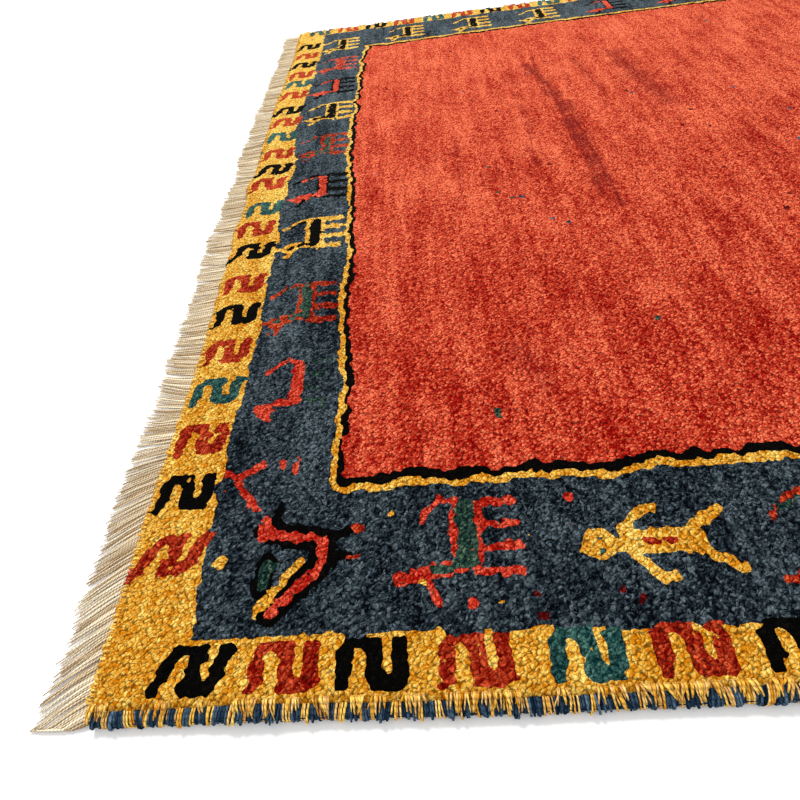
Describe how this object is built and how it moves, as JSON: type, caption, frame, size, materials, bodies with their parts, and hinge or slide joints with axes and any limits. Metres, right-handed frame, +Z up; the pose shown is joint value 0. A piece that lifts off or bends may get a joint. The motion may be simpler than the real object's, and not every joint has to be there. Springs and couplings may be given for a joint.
{
  "type": "gabbeh rug",
  "caption": "Flat rectangular hand-knotted wool rug with a thick pile, a patterned border round a plain field, overcast side cords and a warp fringe at each end.",
  "frame": {"origin": "middle of the rug's underside, on the floor", "axes": "+X along the rug's length, from one fringe to the other; +Y across it; +Z up, out of the pile"},
  "size_m": [2.5228, 1.706, 0.0147],
  "materials": {
    "pile": "matt wool cut pile",
    "selvedge": "matt overcast wool yarn",
    "fringe": "matt undyed warp yarn"
  },
  "bodies": {
    "root": {"knotted_pile": "pile", "selvedge_near": "selvedge", "selvedge_far": "selvedge", "fringe_left": "fringe", "fringe_right": "fringe"}
  },
  "joints": []
}
